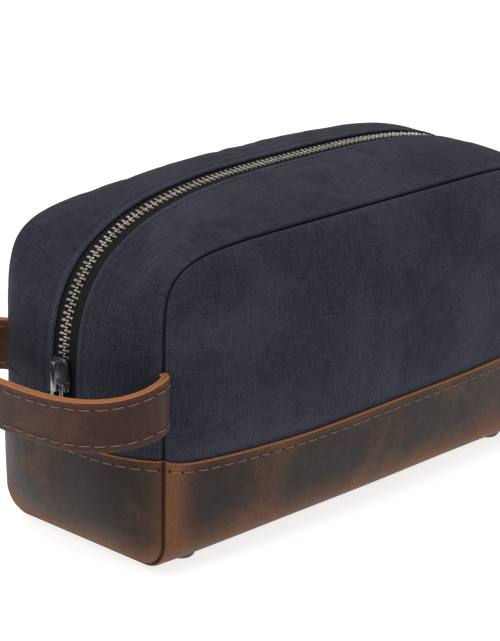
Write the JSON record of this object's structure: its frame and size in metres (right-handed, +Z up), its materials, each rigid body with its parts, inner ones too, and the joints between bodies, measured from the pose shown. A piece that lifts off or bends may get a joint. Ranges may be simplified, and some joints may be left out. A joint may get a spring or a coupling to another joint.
{
  "type": "shaving kit bag",
  "caption": "Zip-top shaving kit bag: stuffed canvas upper on a folded leather base with stud feet and a leather carry strap on one end.",
  "frame": {"origin": "middle of the whole bag's box, on the plane that the feet stand on", "axes": "+X along the bag away from the strap end, -Y towards the front panel, +Z up"},
  "size_m": [0.2826, 0.1102, 0.138],
  "materials": {
    "canvas": "navy waxed canvas, plain weave, matt with darker waxed patches",
    "base_leather": "dark brown oiled leather, rubbed to orange brown along folds",
    "strap_leather": "dark red-brown leather with tan raw edges",
    "lining": "plain cotton lining",
    "zip_tape": "black woven tape",
    "zip_metal": "antique nickel",
    "slider_metal": "polished gunmetal",
    "foot_metal": "dark gunmetal",
    "board": "fibre board, hidden"
  },
  "bodies": {
    "root": {"base_wrap": "base_leather", "left_base_end": "base_leather", "right_base_end": "base_leather", "left_end_canvas": "canvas", "right_end_canvas": "canvas", "left_end_lining": "lining", "right_end_lining": "lining", "base_lining": "lining", "base_board": "board", "foot_front_left": "foot_metal", "foot_front_right": "foot_metal", "foot_back_left": "foot_metal", "foot_back_right": "foot_metal", "foot_plate_front_left": "foot_metal", "foot_plate_front_right": "foot_metal", "foot_plate_back_left": "foot_metal", "foot_plate_back_right": "foot_metal", "zip_stop": "zip_metal", "zip_end_left": "zip_tape", "zip_end_right": "zip_tape"},
    "front_half": {"front_panel": "canvas", "front_gusset": "canvas", "front_panel_lining": "lining", "front_gusset_lining": "lining", "zip_tape_front": "zip_tape", "zip_teeth_front": "zip_metal"},
    "back_half": {"back_panel": "canvas", "back_gusset": "canvas", "back_panel_lining": "lining", "back_gusset_lining": "lining", "zip_tape_back": "zip_tape", "zip_teeth_back": "zip_metal"},
    "slider": {"slider_body": "slider_metal", "slider_bridge": "slider_metal"},
    "pull": {"slider_pull": "slider_metal"},
    "strap": {"strap_outer": "strap_leather", "strap_inner": "strap_leather"}
  },
  "joints": [
    {"name": "front_opens", "type": "hinge", "parent": "root", "child": "front_half", "pos_m": [0, -0.05513, 0.0455], "axis": [1, 0, 0], "range_deg": [0, 12], "deforming": ["zip_tape_front", "zip_teeth_front"]},
    {"name": "back_opens", "type": "hinge", "parent": "root", "child": "back_half", "pos_m": [0, 0.05513, 0.0455], "axis": [-1, 0, 0], "range_deg": [0, 12], "deforming": ["zip_tape_back", "zip_teeth_back"]},
    {"name": "slider_travel", "type": "hinge", "parent": "root", "child": "slider", "pos_m": [-0.0295, 0, 0.07588], "axis": [0, 1, 0], "range_deg": [0, 16.5]},
    {"name": "pull_swing", "type": "hinge", "parent": "slider", "child": "pull", "pos_m": [-0.11513, 0, 0.07076], "axis": [0, 1, 0], "range_deg": [0, 30]},
    {"name": "strap_swing", "type": "hinge", "parent": "root", "child": "strap", "pos_m": [-0.10643, 0, 0.0715], "axis": [0, 1, 0], "range_deg": [-20, 40]}
  ],
  "couplings": [
    {"joint": "back_opens", "follows": "front_opens", "ratio": 1}
  ]
}
